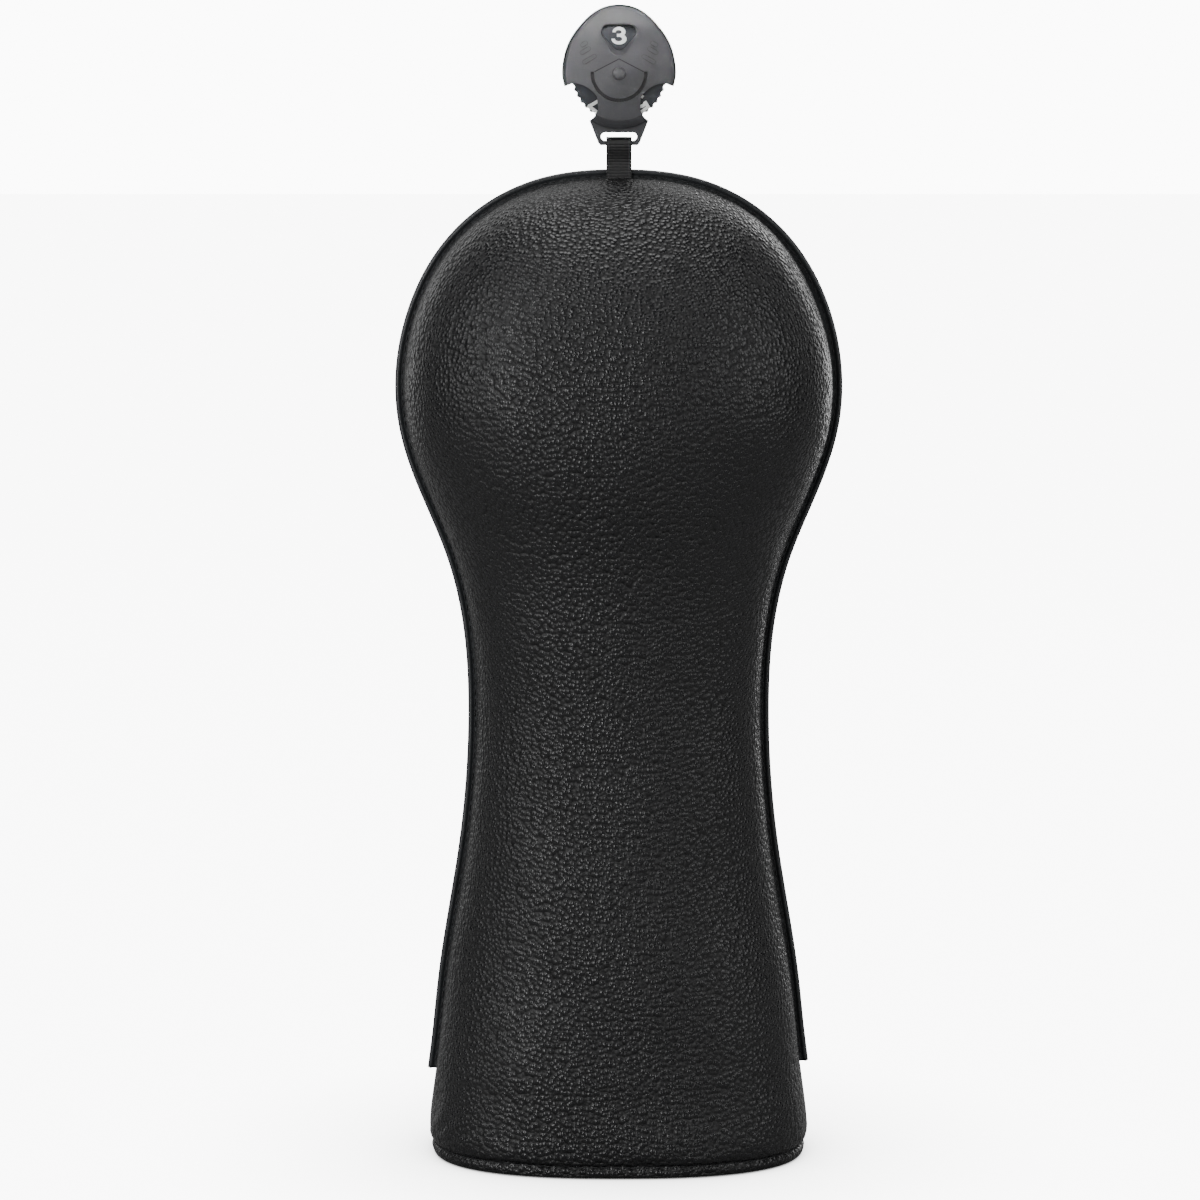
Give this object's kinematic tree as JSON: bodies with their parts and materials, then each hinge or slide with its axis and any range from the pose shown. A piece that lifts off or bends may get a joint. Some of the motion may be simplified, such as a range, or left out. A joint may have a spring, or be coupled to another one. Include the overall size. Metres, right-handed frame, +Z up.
{
  "type": "golf club head cover",
  "caption": "Padded leather head cover for a golf wood, with corded piping round its seam, a ribbon loop at the crown and a turnable number tag.",
  "frame": {"origin": "middle of the mouth, in the plane the cover stands on, on the line where the seam plane meets it", "axes": "+Z up from the mouth to the crown; the front panel, with the tag's numeral, faces -Y; the seam and its piping lie in the plane Y = 0; +X to the right as seen from the front"},
  "size_m": [0.15, 0.1022, 0.3884],
  "materials": {
    "leather": "satin",
    "foam": "matte",
    "fleece": "matte",
    "piping": "gloss",
    "cord": "matte",
    "thread": "satin",
    "ribbon": "satin",
    "tag_plastic": "satin",
    "dial_plastic": "satin",
    "numeral_ink": "satin"
  },
  "bodies": {
    "cover": {"front_panel": "leather", "back_panel": "leather", "front_padding": "foam", "back_padding": "foam", "front_lining": "fleece", "back_lining": "fleece", "piping_cover": "piping", "piping_cord": "cord", "seam_thread": "thread", "hem_thread": "thread", "ribbon_tail": "ribbon"},
    "ribbon": {"ribbon_loop": "ribbon"},
    "tag": {"tag_back_shell": "tag_plastic", "tag_front_shell": "tag_plastic", "pivot_pin": "tag_plastic"},
    "dial": {"number_dial": "dial_plastic", "dial_numerals": "numeral_ink"}
  },
  "joints": [
    {"name": "ribbon_flex", "type": "hinge", "parent": "cover", "child": "ribbon", "pos_m": [0, -0.0016, 0.3338], "axis": [1, 0, 0], "range_deg": [-30, 30], "stiffness_Nm_per_rad": 0.008},
    {"name": "tag_swing", "type": "hinge", "parent": "ribbon", "child": "tag", "pos_m": [0, -0.0016, 0.3427], "axis": [1, 0, 0], "range_deg": [-80, 80]},
    {"name": "dial_spin", "type": "hinge", "parent": "tag", "child": "dial", "pos_m": [0, -0.00365, 0.3658], "axis": [0, 1, 0], "continuous": true}
  ]
}
